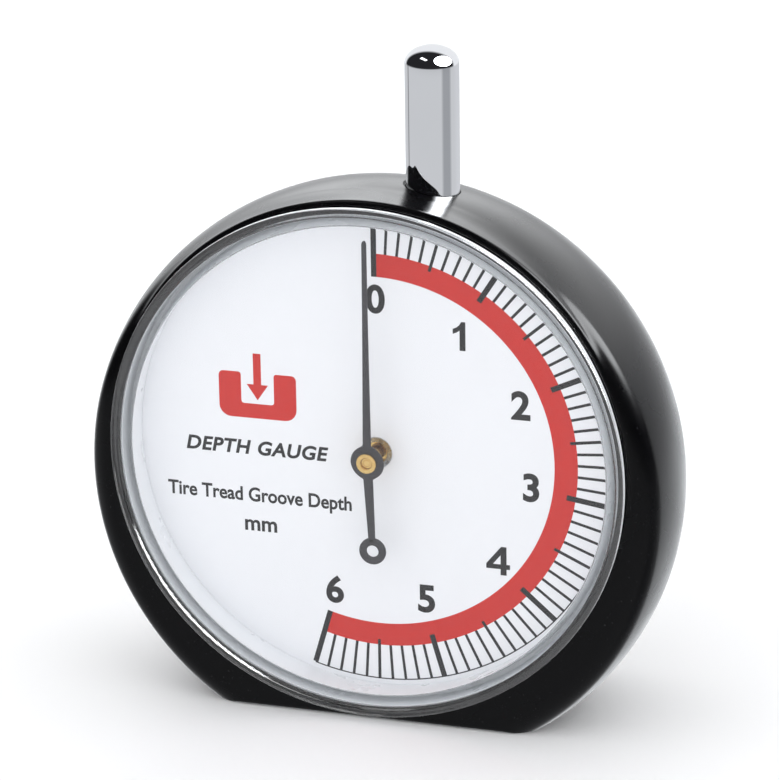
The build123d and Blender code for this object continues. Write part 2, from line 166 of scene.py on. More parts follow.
def clear_acrylic():
    """Polished acrylic, which lets diffuse and shadow rays straight through."""
    mat, n, s, where, out = material("clear_acrylic")
    s.inputs["Base Color"].default_value = rgba(0.995, 0.997, 1.0)
    s.inputs["Roughness"].default_value = 0.0
    s.inputs["IOR"].default_value = 1.49
    s.inputs["Transmission Weight"].default_value = 1.0
    ripple = n.noise(where, 120, 3, 0.5)
    n.put(s.inputs["Normal"], n.bump(ripple, 0.008, 0.004))
    clear = n.add("ShaderNodeBsdfTransparent")
    clear.inputs[0].default_value = rgba(0.985, 0.987, 0.99)
    path = n.add("ShaderNodeLightPath")
    soft = n.add("ShaderNodeMixShader")
    n.put(soft.inputs[0], path.outputs["Is Diffuse Ray"])
    n.put(soft.inputs[1], s.outputs[0])
    n.put(soft.inputs[2], clear.outputs[0])
    lamp = n.add("ShaderNodeMixShader")
    n.put(lamp.inputs[0], path.outputs["Is Shadow Ray"])
    n.put(lamp.inputs[1], soft.outputs[0])
    n.put(lamp.inputs[2], clear.outputs[0])
    n.put(out.inputs["Surface"], lamp.outputs[0])
    return mat


def milky_acrylic():
    """Painted light: the moulding's skirt, made pale and matt so that its colour stands in for the light
    that the clear part carries to it.
    """
    mat, n, s, where, _ = material("milky_acrylic")
    cloud = n.noise(where, 260, 4)
    rings = n.noise(n.mapped(where, (60, 2400, 60)), 1.0, 2)
    n.put(s.inputs["Base Color"], n.mix(cloud, rgba(0.90, 0.92, 0.94), rgba(0.95, 0.97, 0.99)))
    n.put(s.inputs["Roughness"], n.smooth(cloud, 0.3, 0.7, 0.24, 0.4))
    s.inputs["IOR"].default_value = 1.49
    n.put(s.inputs["Normal"], n.bump(rings, 0.15, 0.01))
    return mat


def plain(name, dark, light, rough, scale=300, metal=0.0, bump=0.05, depth=0.01, shine=0.5):
    """Colour and roughness vary with noise, which also raises a fine bump."""
    mat, n, s, where, _ = material(name)
    cloud = n.noise(where, scale, 4)
    grain = n.noise(where, scale * 7, 3)
    n.put(s.inputs["Base Color"], n.mix(cloud, rgba(*dark), rgba(*light)))
    n.put(s.inputs["Roughness"], n.smooth(cloud, 0.3, 0.7, rough[0], rough[1]))
    s.inputs["Metallic"].default_value = metal
    s.inputs["Specular IOR Level"].default_value = shine
    n.put(s.inputs["Normal"], n.bump(grain, bump, depth))
    return mat


ENAMEL = enamel()
ACRYLIC = clear_acrylic()
# Pale matt paint for the crystal's skirt and rim line: painted light, not the acrylic's own colour.
PAINTED_LIGHT_ACRYLIC = milky_acrylic()
RUBBER = plain("black_rubber", (0.012, 0.012, 0.013), (0.022, 0.022, 0.024), (0.5, 0.7), 500)
DIAL_WHITE = plain("dial_white", (0.90, 0.91, 0.935), (0.925, 0.935, 0.96), (0.42, 0.52), 220,
                   depth=0.004, shine=0.1)
INK_BLACK = plain("ink_black", (0.006, 0.006, 0.008), (0.014, 0.014, 0.016), (0.4, 0.55), 700,
                  depth=0.003, shine=0.1)
INK_RED = plain("ink_red", (0.58, 0.012, 0.008), (0.64, 0.020, 0.012), (0.38, 0.5), 500,
                depth=0.003, shine=0.1)
POINTER_BLACK = plain("pointer_black", (0.028, 0.027, 0.032), (0.045, 0.043, 0.050), (0.35, 0.45), 800,
                      depth=0.004, shine=0.2)
BRASS = plain("turned_brass", (0.62, 0.40, 0.12), (0.80, 0.57, 0.23), (0.14, 0.26), 900, 1.0, 0.08, 0.004)
CHROME = plain("bright_chrome", (0.86, 0.87, 0.89), (0.90, 0.91, 0.93), (0.0, 0.0), 200, 1.0, 0.02, 0.004)
STEEL = plain("ground_steel", (0.50, 0.51, 0.53), (0.62, 0.63, 0.65), (0.2, 0.34), 700, 1.0, 0.08, 0.004)
SPRING = plain("spring_steel", (0.30, 0.31, 0.34), (0.42, 0.43, 0.46), (0.22, 0.34), 900, 1.0, 0.06, 0.004)

# ---------------------------------------------------------------------------------------
# Mesh helpers
# ---------------------------------------------------------------------------------------


def mesh_of(name, verts, faces):
    """A mesh from millimetre points."""
    mesh = bpy.data.meshes.new(name)
    mesh.from_pydata([(x * MM, y * MM, z * MM) for x, y, z in verts], [], faces)
    return mesh


def clean(mesh):
    """Merges points that coincide and turns all faces outwards."""
    work = bmesh.new()
    work.from_mesh(mesh)
    bmesh.ops.remove_doubles(work, verts=work.verts, dist=1e-7)
    bmesh.ops.recalc_face_normals(work, faces=work.faces)
    work.to_mesh(mesh)
    work.free()


def piece(name, verts, faces, mat, body, stands_for=(), sharp=32):
    """A piece from millimetre points, smooth except at edges sharper than the given angle."""
    return finish_piece(name, mesh_of(name, verts, faces), mat, body, stands_for, sharp)


def finish_piece(name, mesh, mat, body, stands_for, sharp):
    """Turns a mesh into a piece that rides a body and may stand for CAD nodes."""
    clean(mesh)
    mesh.materials.clear()
    mesh.materials.append(mat)
    ob = bpy.data.objects.new(name, mesh)
    bpy.context.scene.collection.objects.link(ob)
    smooth(ob, sharp)
    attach(ob, body)
    if stands_for:
        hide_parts(*stands_for)
    return ob


def smooth(ob, sharp):
    ob.data.shade_smooth()
    ob.data.set_sharp_from_angle(angle=math.radians(sharp))


def rounded(corners, steps=5):
    """Closed outline through corners (a, b, radius) in a plane, with each corner turned into an arc."""
    out = []
    count = len(corners)
    for i, (x, y, r) in enumerate(corners):
        if not r:
            out.append((x, y))
            continue
        here = Vector((x, y))
        before = Vector(corners[i - 1][:2]) - here
        after = Vector(corners[(i + 1) % count][:2]) - here
        a, b = before.normalized(), after.normalized()
        half = a.angle(b) / 2
        reach = min(r / math.tan(half), before.length * 0.49, after.length * 0.49)
        radius = reach * math.tan(half)
        centre = here + (a + b).normalized() * (radius / math.sin(half))
        start = (here + a * reach) - centre
        end = (here + b * reach) - centre
        turn = math.atan2(start.x * end.y - start.y * end.x, start.dot(end))
        for k in range(steps + 1):
            t = turn * k / steps
            c, s = math.cos(t), math.sin(t)
            p = centre + Vector((start.x * c - start.y * s, start.x * s + start.y * c))
            out.append((p.x, p.y))
    return out


def turned(profile, steps, place):
    """Ring of quads from a closed profile of (radius, along). place(radius, along, angle) is the point."""
    verts, faces = [], []
    count = len(profile)
    for k in range(steps):
        angle = 2 * math.pi * k / steps
        verts += [place(r, a, angle) for r, a in profile]
    for k in range(steps):
        here, there = k * count, (k + 1) % steps * count
        for i in range(count):
            j = (i + 1) % count
            faces.append((here + i, here + j, there + j, there + i))
    return verts, faces


def about_y(x=0.0, z=None):
    z = DIAL_Z if z is None else z
    return lambda r, y, t: (x + r * math.sin(t), y, z + r * math.cos(t))


def about_z(x, y):
    return lambda r, z, t: (x + r * math.sin(t), y - r * math.cos(t), z)


def lathe(name, profile, steps, place, mat, body, stands_for=(), sharp=32):
    """Solid or ring of revolution. Profile points at radius 0 merge into poles."""
    verts, faces = turned(profile, steps, place)
    return piece(name, verts, faces, mat, body, stands_for, sharp)


def cut(ob, cutters):
    """Cuts each cutter out of an object and removes the cutters."""
    for c in cutters:
        m = ob.modifiers.new("cut", "BOOLEAN")
        m.operation = "DIFFERENCE"
        m.solver = "EXACT"
        m.object = c
    bpy.context.view_layer.update()
    graph = bpy.context.evaluated_depsgraph_get()
    mesh = bpy.data.meshes.new_from_object(ob.evaluated_get(graph))
    ob.modifiers.clear()
    ob.data = mesh
    smooth(ob, 32)
    for c in cutters:
        bpy.data.objects.remove(c, do_unlink=True)


def cutter(profile, steps, place):
    """Solid of revolution to cut with."""
    mesh = mesh_of("cutter", *turned(profile, steps, place))
    clean(mesh)
    ob = bpy.data.objects.new("cutter", mesh)
    bpy.context.scene.collection.objects.link(ob)
    return ob


# ---------------------------------------------------------------------------------------
# Case
# ---------------------------------------------------------------------------------------
FACE_Y = -3.75
SEAM_Y = 11.0
BACK_Y = 15.0
SIDE_ARC = 19.0
WIDEST_Y = 2.9
BARREL = 29.25
FRONT_FILLET = 2.2
BACK_FILLET = 2.5
BOSS = 26.1
BOSS_EDGE = 0.45
BOSS_BACK = 0.9
POCKET = 24.95
CAVITY = 21.5
LEDGE_Y = 0.3
BASE_EDGE = 0.5
BASE_CORNER = 0.7
FACE_EDGE = 0.06
SEAM_HALF = 0.12
SEAM_DEPTH = 0.1
SEAT_BLEND = 0.3
CAP_PLAY = 0.08
BUSH_BORE = 2.4
COVER_ROOM = 15.5
COVER_ROOM_Y = 13.0
SCREW_OFFSET = 13.4
SCREW_HEAD = 1.8
SCREW_SHANK = 0.8
SCREW_SINK = 1.2


def fillet_circle(face, radius, towards):
    """Centre (radius, y) of the fillet between a flat end and the convex side."""
    y = face + towards * radius
    reach = SIDE_ARC - radius
    return BARREL - SIDE_ARC + math.sqrt(reach**2 - (y - WIDEST_Y) ** 2), y


def barrel_radius(y):
    """Outer radius at a depth, with both end fillets."""
    for face, radius, towards in ((FACE_Y, FRONT_FILLET, 1), (BACK_Y, BACK_FILLET, -1)):
        centre, cy = fillet_circle(face, radius, towards)
        tangent = WIDEST_Y + (cy - WIDEST_Y) * SIDE_ARC / (SIDE_ARC - radius)
        if (y - tangent) * towards < 0:
            return centre + math.sqrt(max(radius**2 - (y - cy) ** 2, 0))
    return BARREL - SIDE_ARC + math.sqrt(SIDE_ARC**2 - (y - WIDEST_Y) ** 2)


def boss_radius(y, angle):
    """Distance from the case axis to the crystal's round seat, in one direction."""
    step = DIAL_Z - CASE_Z
    reach = step * math.cos(angle) + math.sqrt(BOSS**2 - (step * math.sin(angle)) ** 2)
    up = y - FACE_Y
    if up < BOSS_EDGE:
        reach -= BOSS_EDGE - math.sqrt(BOSS_EDGE**2 - (BOSS_EDGE - up) ** 2)
    return reach


def larger(a, b, blend):
    """Maximum of two lengths with a soft transition."""
    h = max(blend - abs(a - b), 0) / blend
    return max(a, b) + h * h * blend / 4


def case_ring(y, shrink=0.0, with_boss=True, arc=150, corner=10, flat=24):
    """One closed outline of the case at a depth, clockwise from the top."""
    radius = barrel_radius(y) - shrink
    up = y - FACE_Y
    base = shrink
    if up < BASE_EDGE:
        base += BASE_EDGE - math.sqrt(BASE_EDGE**2 - (BASE_EDGE - up) ** 2)
    below = CASE_Z - base - BASE_CORNER
    square = (radius - BASE_CORNER) ** 2 - below**2
    reach = math.sqrt(square) if square > 0 else 0.0
    stop = math.atan2(reach, -below) if square > 0 else math.pi
    half = []
    blend = SEAT_BLEND * min(1.0, max(BOSS_BACK - y, 0.02))
    for k in range(arc + 1):
        t = stop * k / arc
        r = larger(radius, boss_radius(y, t) - shrink, blend) if with_boss else radius
        half.append((r * math.sin(t), CASE_Z + r * math.cos(t)))
    low = CASE_Z - below
    for k in range(1, corner + 1):
        t = stop + (math.pi - stop) * k / corner
        if square > 0:
            half.append((reach + BASE_CORNER * math.sin(t), low + BASE_CORNER * math.cos(t)))
        else:
            half.append((0.0, CASE_Z - radius))
    for k in range(1, flat + 1):
        x = reach * (1 - k / flat)
        half.append((x, base if square > 0 else CASE_Z - radius))
    other = [(-x, z) for x, z in reversed(half[1:-1])]
    return [(x, y, z) for x, z in half + other]


def dial_ring(like, radius, y):
    """Circle about the dial axis with a point in the direction of each point of another ring."""
    out = []
    for x, _, z in like:
        t = math.atan2(x, z - DIAL_Z)
        out.append((radius * math.sin(t), y, DIAL_Z + radius * math.cos(t)))
    return out


def bridge(rings, closed):
    """Quads between rings of equal length, and from the last ring back to the first if closed."""
    verts = [p for ring in rings for p in ring]
    count = len(rings[0])
    faces = []
    for k in range(len(rings) if closed else len(rings) - 1):
        here, there = k * count, (k + 1) % len(rings) * count
        for i in range(count):
            j = (i + 1) % count
            faces.append((here + i, here + j, there + j, there + i))
    return verts, faces


def depths(low, high, steps):
    return [low + (high - low) * k / steps for k in range(steps + 1)]


def fillet_depths(face, radius, towards, steps):
    """Depths that give even steps of angle round an end fillet."""
    _, cy = fillet_circle(face, radius, towards)
    end = math.acos(min(1.0, abs(cy - WIDEST_Y) / (SIDE_ARC - radius)))
    return [face + towards * radius * (1 - math.cos(end * k / steps)) for k in range(steps + 1)]


front_steps = fillet_depths(FACE_Y, FRONT_FILLET, 1, 16)
front_steps += [FACE_Y + d for d in (0.02, 0.05, 0.09, 0.15, 0.3)]
front_steps = sorted(set(front_steps))
side_start = front_steps[-1]
outline = case_ring(FACE_Y)
rings = [case_ring(FACE_Y, shrink=FACE_EDGE)] + [case_ring(y) for y in front_steps]
rings += [case_ring(y, with_boss=y < BOSS_BACK) for y in depths(side_start, SEAM_Y - SEAM_HALF, 40)[1:]]
rings += [case_ring(SEAM_Y, shrink=SEAM_DEPTH, with_boss=False)]
rings += [dial_ring(outline, CAVITY, SEAM_Y), dial_ring(outline, CAVITY, LEDGE_Y)]
rings += [dial_ring(outline, POCKET, LEDGE_Y), dial_ring(outline, POCKET, FACE_Y + FACE_EDGE)]
rings += [dial_ring(outline, POCKET + FACE_EDGE, FACE_Y)]
verts, faces = bridge(rings, True)
case = piece("case_shell", verts, faces, ENAMEL, "case", ("case_body",))

cap_low, cap_high = box_mm("thumb_cap")
CAP_X, CAP_Y = (cap_low.x + cap_high.x) / 2, (cap_low.y + cap_high.y) / 2
CAP_R = (cap_high.x - cap_low.x) / 2
top_z = CASE_Z + barrel_radius(CAP_Y) - 0.25
hole = CAP_R + CAP_PLAY
mouth = hole + 0.3
bore = [
    (0, 40), (hole, 40), (hole, top_z - 0.05), (hole + 0.12, top_z + 0.05),
    (mouth, top_z + 0.35), (mouth, 60), (0, 60),
]
bush_bore = [(0, -2), (BUSH_BORE, -2), (BUSH_BORE, 8), (0, 8)]
cut(case, [cutter(bore, 96, about_z(CAP_X, CAP_Y)), cutter(bush_bore, 64, about_z(CAP_X, CAP_Y))])

cover_rings = [case_ring(SEAM_Y, shrink=SEAM_DEPTH, with_boss=False)]
cover_rings += [case_ring(y, with_boss=False) for y in depths(SEAM_Y + SEAM_HALF, 13.9, 12)]
back_steps = reversed(fillet_depths(BACK_Y, BACK_FILLET, -1, 16))
cover_rings += [case_ring(y, with_boss=False) for y in back_steps]
back_line = cover_rings[-1]


def shrunk(ring, factor, y):
    return [(x * factor, y, CASE_Z + (z - CASE_Z) * factor) for x, _, z in ring]


cover_rings += [shrunk(back_line, factor, BACK_Y) for factor in (0.996, 0.5, 0.02)]
verts, faces = bridge(cover_rings, False)
count = len(back_line)
faces.append(tuple(range(len(verts) - count, len(verts))))
base = len(verts)
verts += dial_ring(back_line, COVER_ROOM, SEAM_Y) + dial_ring(back_line, COVER_ROOM, COVER_ROOM_Y)
for i in range(count):
    j = (i + 1) % count
    faces.append((j, i, base + i, base + j))
    faces.append((base + j, base + i, base + count + i, base + count + j))
faces.append(tuple(range(base + 2 * count - 1, base + count - 1, -1)))
cover = piece("back_shell", verts, faces, ENAMEL, "case", ("back_cover",))
floor_y = BACK_Y - SCREW_SINK
seat = [
    (0, 9), (SCREW_SHANK, 9), (SCREW_SHANK, floor_y), (SCREW_HEAD, floor_y),
    (SCREW_HEAD, BACK_Y - 0.12), (SCREW_HEAD + 0.15, BACK_Y + 0.03), (SCREW_HEAD + 0.15, 17), (0, 17),
]
seats = []
for sx in (-1, 1):
    for sz in (-1, 1):
        seats.append(cutter(seat, 64, about_y(sx * SCREW_OFFSET, DIAL_Z + sz * SCREW_OFFSET)))
cut(cover, seats)

# ---------------------------------------------------------------------------------------
# Crystal, gasket and dial
# ---------------------------------------------------------------------------------------
crystal_profile = rounded([
    (0, -4.95, 0), (24.75, -4.95, 0.15), (24.95, -5.2, 0.1), (25.66, -5.2, 0.3), (25.66, -4.6, 0),
    (25.66, -4.0, 0.08), (24.85, -4.0, 0.05), (24.85, -3.6, 0), (24.85, -0.02, 0.1), (24.4, -0.02, 0.08),
    (23.8, -3.5, 0), (23.75, -3.8, 0.1), (0, -3.8, 0),
])
crystal = lathe("crystal_cover", crystal_profile, 720, about_y(), ACRYLIC, "case",
                ("crystal",), 30)
# Second slot of the crystal: pale paint standing in for carried light and for the rim's highlight.
crystal.data.materials.append(PAINTED_LIGHT_ACRYLIC)
SKIRT_FRONT_Y = -3.65


def is_matt(points):
    """The skirt and a narrow line round the rim take the pale paint that stands in for light carried through
    the acrylic and for the rim's highlight.
    """
    on_skirt = all(y > SKIRT_FRONT_Y for _, y in points)
    on_rim = all(r > 25.6 and -4.95 < y < -4.55 for r, y in points)
    return on_skirt or on_rim


for face in crystal.data.polygons:
    corners = [crystal.data.vertices[v].co / MM for v in face.vertices]
    if is_matt([(math.hypot(c.x, c.z - DIAL_Z), c.y) for c in corners]):
        face.material_index = 1
gasket_profile = rounded([
    (24.95, -3.99, 0.05), (25.6, -3.99, 0.08), (25.6, -3.76, 0.05), (24.95, -3.76, 0.05),
])
lathe("seal_ring", gasket_profile, 256, about_y(), RUBBER, "case", ("crystal_gasket",))

INK_FRONT = DIAL_Y - 0.012
INK_BACK = DIAL_Y + 0.02
STEP = math.radians(360 * 0.1 / 10.9956)
STEPS = 60


def add_prism(verts, faces, outline, joined=()):
    """Thin plate over the dial, from an outline in (x, height above the dial's centre).

    It has no wall on the joined edges, where another plate goes on.
    """
    base, count = len(verts), len(outline)
    verts += [(x, INK_FRONT, DIAL_Z + z) for x, z in outline]
    verts += [(x, INK_BACK, DIAL_Z + z) for x, z in outline]
    faces.append(tuple(base + i for i in range(count)))
    faces.append(tuple(base + count + i for i in reversed(range(count))))
    for i in range(count):
        if i in joined:
            continue
        j = (i + 1) % count
        faces.append((base + i, base + count + i, base + count + j, base + j))


def radial_bar(angle, inner, outer, width):
    """Outline of a mark that points at the dial's centre."""
    c, s = math.cos(angle), math.sin(angle)
    h = width / 2
    return [(s * r + c * w, c * r - s * w) for r, w in ((inner, -h), (outer, -h), (outer, h), (inner, h))]


verts, faces = [], []
for k in range(STEPS + 1):
    if k in (0, STEPS):
        spec = (0.886, 1.175, 0.027)
    elif k % 10 == 0:
        spec = (0.955, 1.175, 0.0275)
    elif k % 5 == 0:
        spec = (0.972, 1.175, 0.0150)
    else:
        spec = (1.0, 1.175, 0.0135)
    a, b, w = (v * RED_OUT for v in spec)
    add_prism(verts, faces, radial_bar(k * STEP, a, b, w))
piece("dial_ticks", verts, faces, INK_BLACK, "case")


def printed_arc(name, inner, outer, mat):
    """Thin arc over the dial between two radii, as long as the scale."""
    steps = 4 * STEPS
    verts, faces = [], []
    for k in range(steps + 1):
        t = STEPS * STEP * k / steps
        for r in (inner, outer):
            for y in (INK_FRONT + 0.004, INK_BACK):
                verts.append((r * math.sin(t), y, DIAL_Z + r * math.cos(t)))
    for k in range(steps):
        a, b = 4 * k, 4 * k + 4
        for i, j in ((0, 2), (2, 3), (3, 1), (1, 0)):
            faces.append((a + i, a + j, b + j, b + i))
    faces += [(0, 1, 3, 2), tuple(4 * steps + i for i in (2, 3, 1, 0))]
    return piece(name, verts, faces, mat, "case")


printed_arc("dial_scale_line", 1.175 * RED_OUT, 1.181 * RED_OUT, INK_BLACK)
printed_arc("dial_band", 0.8857 * RED_OUT, RED_OUT, INK_RED)


def printed_text(name, words, x, z, height, bold=0.0, width=None, slant=0.0, spacing=1.0):
    """Printed words centred at (x, z) in units of the red band's radius, with a height and a width."""
    curve = bpy.data.curves.new(name, "FONT")
    curve.body = words
    curve.size = 1.0
    curve.offset = bold
    curve.shear = slant
    curve.space_character = spacing
    curve.resolution_u = 6
    maker = bpy.data.objects.new(name + "_maker", curve)
    bpy.context.scene.collection.objects.link(maker)
    bpy.context.view_layer.update()
    mesh = bpy.data.meshes.new_from_object(maker.evaluated_get(bpy.context.evaluated_depsgraph_get()))
    bpy.data.objects.remove(maker, do_unlink=True)
    xs = [v.co.x for v in mesh.vertices]
    ys = [v.co.y for v in mesh.vertices]
    scale = height / (max(ys) - min(ys))
    cx, cy = (max(xs) + min(xs)) / 2, (max(ys) + min(ys)) / 2
    stretch = width / ((max(xs) - min(xs)) * scale) if width else 1.0
    for v in mesh.vertices:
        px = (v.co.x - cx) * scale * stretch + x * RED_OUT
        pz = (v.co.y - cy) * scale + z * RED_OUT
        v.co = Vector((px, INK_FRONT, DIAL_Z + pz)) * MM
    work = bmesh.new()
    work.from_mesh(mesh)
    bmesh.ops.remove_doubles(work, verts=work.verts, dist=1e-8)
    made = bmesh.ops.extrude_face_region(work, geom=work.faces[:])
    for v in made["geom"]:
        if isinstance(v, bmesh.types.BMVert):
            v.co.y = INK_BACK * MM
    work.to_mesh(mesh)
    work.free()
    return finish_piece(name, mesh, INK_BLACK, "case", (), 30)


NUMERAL_HEIGHT = 2.95
PLACES = (
    (0.005, 0.775), (0.43, 0.625), (0.72, 0.305), (0.77, -0.105), (0.605, -0.495),
    (0.2425, -0.7325), (-0.225, -0.7325),
)
for i, (x, z) in enumerate(PLACES):
    if i not in (1, 4):
        printed_text(f"numeral_{i}", str(i), x, z, NUMERAL_HEIGHT, bold=0.03)


def printed_numeral(i, plates):
    """A numeral made of plates, each with an outline about the numeral's place and its joined edges."""
    x, z = (v * RED_OUT for v in PLACES[i])
    verts, faces = [], []
    for outline, joined in plates:
        add_prism(verts, faces, [(x + px, z + pz) for px, pz in outline], joined)
    piece(f"numeral_{i}", verts, faces, INK_BLACK, "case")


one = [(0.4, -1.45), (0.4, 1.45), (-0.02, 1.45), (-0.22, 1.1), (-0.5, 0.86), (-0.86, 0.7),
       (-0.86, 0.2), (-0.48, 0.36), (-0.18, 0.58), (-0.18, -1.45)]
four_left = [(0.25, -0.85), (-1.2, -0.85), (-1.2, -0.36), (0.3, 1.475), (0.25, 0.6), (-0.52, -0.36),
             (0.25, -0.36)]
four_right = [(0.25, -1.475), (0.85, -1.475), (0.85, -0.85), (1.2, -0.85), (1.2, -0.36), (0.85, -0.36),
              (0.85, 1.475), (0.3, 1.475), (0.25, 0.6), (0.25, -0.36), (0.25, -0.85)]
printed_numeral(1, [(one, ())])
printed_numeral(4, [(four_left, (3, 6)), (four_right, (7, 9))])
printed_text("legend_top", "DEPTH GAUGE", -0.61, -0.035, 1.5, bold=0.03, width=14.8, slant=0.2, spacing=1.08)
printed_text("legend_middle", "Tire Tread Groove Depth", -0.605, -0.29, 1.95, bold=0.022, width=19.2)
printed_text("legend_unit", "mm", -0.60, -0.44, 1.15, bold=0.022)

# A block of tread in section, with an arrow into its groove.
block = rounded([
    (-4, -3.3, 1.2), (4, -3.3, 1.2), (4, 1.4, 0.5), (1.7, 1.4, 0.3),
    (1.7, -1.8, 0.3), (-1.7, -1.8, 0.3), (-1.7, 1.4, 0.3), (-4, 1.4, 0.5),
])
arrow = [(-0.4, 3.4), (0.4, 3.4), (0.4, 0.2), (1.1, 0.2), (0, -1.4), (-1.1, 0.2), (-0.4, 0.2)]
verts, faces = [], []
for shape in (block, arrow):
    add_prism(verts, faces, [(x - 0.60 * RED_OUT, z + 0.28 * RED_OUT) for x, z in shape])
piece("dial_pictogram", verts, faces, INK_RED, "case")

# ---------------------------------------------------------------------------------------
# Pointer and hub
# ---------------------------------------------------------------------------------------
POINTER_FRONT, POINTER_BACK = -3.15, -2.9
TIP_Z = 22.2
TIP_ROUND = 0.18
TAIL_RING_Z = -9.05
HUB_DISC = 1.68
HUB_BLEND = 0.5
TAIL_LEAN = 0.045
# Half width of the blade at distances from the centre, positive towards the tip.
WIDTHS = ((TAIL_RING_Z, 0.30), (-1.0, 0.5), (0.0, 0.44), (6.0, 0.35), (14.0, 0.24), (22.0, TIP_ROUND))


def half_width(z):
    """Half width of the pointer, with its hub's disc and its rounded tip."""
    base = WIDTHS[-1][1]
    for (a, wa), (b, wb) in zip(WIDTHS, WIDTHS[1:]):
        if a <= z <= b:
            base = wa + (wb - wa) * (z - a) / (b - a)
    wide = larger(base, math.sqrt(max(HUB_DISC**2 - z * z, 0)), HUB_BLEND)
    tip = TIP_Z - z
    if tip < TIP_ROUND:
        wide = min(wide, math.sqrt(max(TIP_ROUND**2 - (TIP_ROUND - tip) ** 2, 0)))
    return wide


def lean(z):
    """Sideways set of the tail, which isn't quite in line with the blade."""
    return TAIL_LEAN * max(-z, 0)


stations = [-8.1 + 0.2 * k for k in range(29)]
stations += [-2.4 + 0.06 * k for k in range(81)]
stations += [2.6 + 0.4 * k for k in range(48)]
stations += [21.9, 22.02, 22.08, 22.13, 22.17, 22.19, TIP_Z]
stations = sorted(set(round(z, 4) for z in stations))
# Across the blade: part of the half width, and part of the thickness from the front.
section = [
    (-1.0, 0.5), (-0.97, 0.15), (-0.86, 0.03), (-0.6, 0.0), (0.0, 0.0), (0.6, 0.0), (0.86, 0.03),
    (0.97, 0.15), (1.0, 0.5), (0.95, 0.9), (0.85, 1.0), (-0.85, 1.0), (-0.95, 0.9),
]
thick = POINTER_BACK - POINTER_FRONT
point_rings = []
for z in stations:
    w = max(half_width(z), 0.004)
    point_rings.append([(w * sx + lean(z), POINTER_FRONT + thick * sy, DIAL_Z + z) for sx, sy in section])
verts, faces = bridge(point_rings, False)
count = len(section)
faces.append(tuple(range(count)))
faces.append(tuple(len(verts) - 1 - i for i in range(count)))
ring_profile = rounded([
    (0.6, POINTER_BACK, 0.05), (0.6, POINTER_FRONT, 0.1),
    (1.35, POINTER_FRONT, 0.1), (1.35, POINTER_BACK, 0.05),
], steps=4)
ring_verts, ring_faces = turned(ring_profile, 72, about_y(lean(TAIL_RING_Z), DIAL_Z + TAIL_RING_Z))
base = len(verts)
verts += ring_verts
faces += [tuple(base + i for i in f) for f in ring_faces]
piece("pointer_blade", verts, faces, POINTER_BLACK, "pointer_group", ("pointer",), 40)

hub_profile = rounded([
    (0, -3.2, 0), (0.30, -3.24, 0.1), (0.52, -3.1, 0.1), (0.54, -3.1, 0), (0.54, -3.42, 0.05),
    (0.62, -3.5, 0.05), (0.94, -3.5, 0.07), (1.0, -3.42, 0.05), (1.0, -2.9, 0), (1.5, -2.9, 0.06),
    (1.5, -2.55, 0.06), (0.85, -2.55, 0.03), (0.85, -1.5, 0.05), (0, -1.5, 0),
])
lathe("pointer_boss", hub_profile, 96, about_y(), BRASS, "pointer_group",
      ("pointer_hub",), 35)

# ---------------------------------------------------------------------------------------
# Thumb cap
# ---------------------------------------------------------------------------------------
CAP_DOME = 1.68
CAP_CHAMFER = 0.15
shoulder = cap_high.z - CAP_DOME
foot = cap_low.z
inside = CAP_R - 0.6
cap_profile = [
    (0, foot + 2), (inside, foot + 2), (inside, foot),
    (CAP_R - CAP_CHAMFER, foot), (CAP_R, foot + CAP_CHAMFER),
]
cap_profile += [(CAP_R, foot + CAP_CHAMFER + (shoulder - 0.2 - foot) * k / 12) for k in range(1, 13)]
for k in range(1, 25):
    t = math.pi / 2 * k / 24
    cap_profile.append((CAP_R * math.cos(t) if k < 24 else 0.0, shoulder + CAP_DOME * math.sin(t)))
lathe("plunger_cap", cap_profile, 160, about_z(CAP_X, CAP_Y), CHROME, "plunger",
      ("thumb_cap",), 35)

# ---------------------------------------------------------------------------------------
# Materials of the CAD pieces that stay
# ---------------------------------------------------------------------------------------
keep = {
    DIAL_WHITE: ("dial_plate",),
    STEEL: ("back_cover_screws", "dial_eyelet", "front_pillar_screws", "rear_pillar_screws",
            "movement_screws", "spindle", "rack_screws", "guide_pin", "measuring_pin"),
    BRASS: ("dial_feet", "front_plate", "rear_plate", "plate_pillars", "front_bush", "rear_bush",
            "arbor", "pinion", "hairspring_collet", "hairspring_stud", "rack", "spring_collar",
            "lower_bush"),
    SPRING: ("hairspring", "return_spring"),
}
for mat, names in keep.items():
    for name in names:
        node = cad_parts[name]
        for place in node.material_slots:
            place.material = mat

# ---------------------------------------------------------------------------------------
# Studio
# ---------------------------------------------------------------------------------------
floor_mesh = bpy.data.meshes.new("floor")
floor_mesh.from_pydata([(-4, -4, 0), (4, -4, 0), (4, 4, 0), (-4, 4, 0)], [], [(0, 1, 2, 3)])
floor = bpy.data.objects.new("floor", floor_mesh)
floor.location.z = -0.00002
bpy.context.scene.collection.objects.link(floor)
floor_mat, _, fs, _, _ = material("floor_pale")
fs.inputs["Base Color"].default_value = rgba(0.97, 0.97, 0.972)
fs.inputs["Roughness"].default_value = 0.6
fs.inputs["Specular IOR Level"].default_value = 0.1
floor_mesh.materials.append(floor_mat)
floor.visible_glossy = False

world = bpy.data.worlds.new("studio")
bpy.context.scene.world = world
world.use_nodes = True
world.cycles.sampling_method = "NONE"
w = Nodes(world.node_tree)
toward = w.add("ShaderNodeTexCoord").outputs["Generated"]


def direction(azimuth, elevation):
    """Unit vector. Azimuth 0 is in front of the dial and grows to the right."""
    a, e = math.radians(azimuth), math.radians(elevation)
    return Vector((math.sin(a) * math.cos(e), -math.cos(a) * math.cos(e), math.sin(e)))


